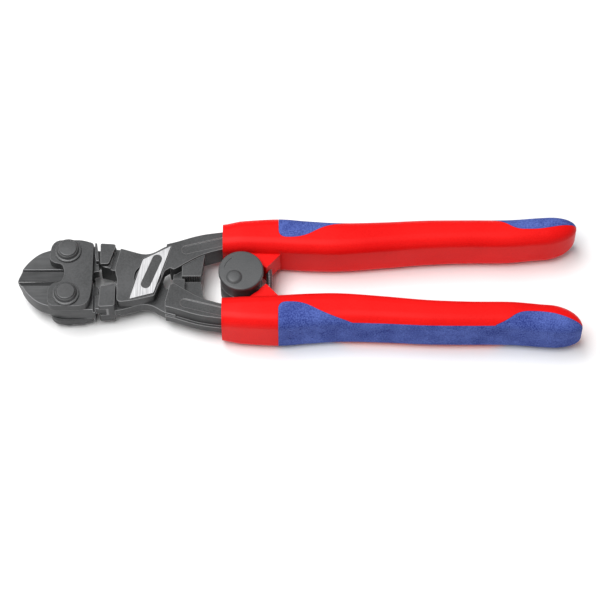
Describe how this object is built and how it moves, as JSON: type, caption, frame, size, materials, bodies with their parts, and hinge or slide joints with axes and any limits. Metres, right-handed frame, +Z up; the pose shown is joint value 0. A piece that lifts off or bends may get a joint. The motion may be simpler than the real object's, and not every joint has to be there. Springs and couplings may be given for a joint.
{
  "type": "compact bolt cutters",
  "caption": "Compact lever-action bolt cutters with short pivoted jaws, strap plates, two-part grips, an opening spring and a rotary handle lock.",
  "frame": {"origin": "centre of the closed tool's outline, on the surface that the grips rest on", "axes": "+X from the jaw tips to the handle ends, +Z up through the flat side, the handles open along Y"},
  "size_m": [0.2, 0.0472, 0.019],
  "materials": {
    "jaw_steel": "burnished dark steel, ground cutting bevels",
    "strap_steel": "burnished dark steel, brushed flat faces",
    "lever_steel": "burnished dark forged steel",
    "rivet_steel": "turned dark steel",
    "polished_steel": "bright brushed steel, blank",
    "grip_hard": "satin moulded red plastic",
    "grip_soft": "soft blue moulding with a fine mottle",
    "spring_steel": "blackened spring steel",
    "knob_plastic": "satin dark grey"
  },
  "bodies": {
    "lower_half": {"lower_lever": "lever_steel", "lower_grip": "grip_hard", "lower_soft_cover": "grip_soft", "lower_tail_pin": "rivet_steel", "lower_spring_seat": "spring_steel", "opening_spring": "spring_steel", "centre_rivet": "rivet_steel"},
    "upper_half": {"upper_lever": "lever_steel", "upper_grip": "grip_hard", "upper_soft_cover": "grip_soft", "upper_tail_pin": "rivet_steel", "upper_spring_seat": "spring_steel", "marker_plate": "polished_steel"},
    "lower_jaw": {"lower_cutting_jaw": "jaw_steel"},
    "upper_jaw": {"upper_cutting_jaw": "jaw_steel"},
    "straps": {"top_strap_plate": "strap_steel", "bottom_strap_plate": "strap_steel", "upper_strap_rivet": "rivet_steel", "lower_strap_rivet": "rivet_steel"},
    "lock": {"lock_knob": "knob_plastic", "lock_cam": "rivet_steel", "lock_axle": "rivet_steel"}
  },
  "joints": [
    {"name": "handle_hinge", "type": "hinge", "parent": "lower_half", "child": "upper_half", "pos_m": [-0.0535, 0, 0.0095], "axis": [0, 0, 1], "range_deg": [0, 22], "deforming": ["opening_spring"]},
    {"name": "lower_jaw_hinge", "type": "hinge", "parent": "lower_half", "child": "lower_jaw", "pos_m": [-0.0679, -0.0092, 0.0095], "axis": [0, 0, 1], "range_deg": [0, 23]},
    {"name": "upper_jaw_hinge", "type": "hinge", "parent": "upper_half", "child": "upper_jaw", "pos_m": [-0.0679, 0.0092, 0.0095], "axis": [0, 0, 1], "range_deg": [-23, 0]},
    {"name": "strap_hinge", "type": "hinge", "parent": "lower_jaw", "child": "straps", "pos_m": [-0.082, -0.0088, 0.0095], "axis": [0, 0, 1], "range_deg": [-12, 0]},
    {"name": "lock_turn", "type": "hinge", "parent": "upper_half", "child": "lock", "pos_m": [-0.0203, 0, 0.0095], "axis": [0, 0, -1], "range_deg": [0, 90]}
  ],
  "couplings": [
    {"joint": "lower_jaw_hinge", "follows": "handle_hinge", "ratio": 1.04},
    {"joint": "upper_jaw_hinge", "follows": "handle_hinge", "ratio": -1.04},
    {"joint": "strap_hinge", "follows": "handle_hinge", "ratio": -0.54}
  ]
}
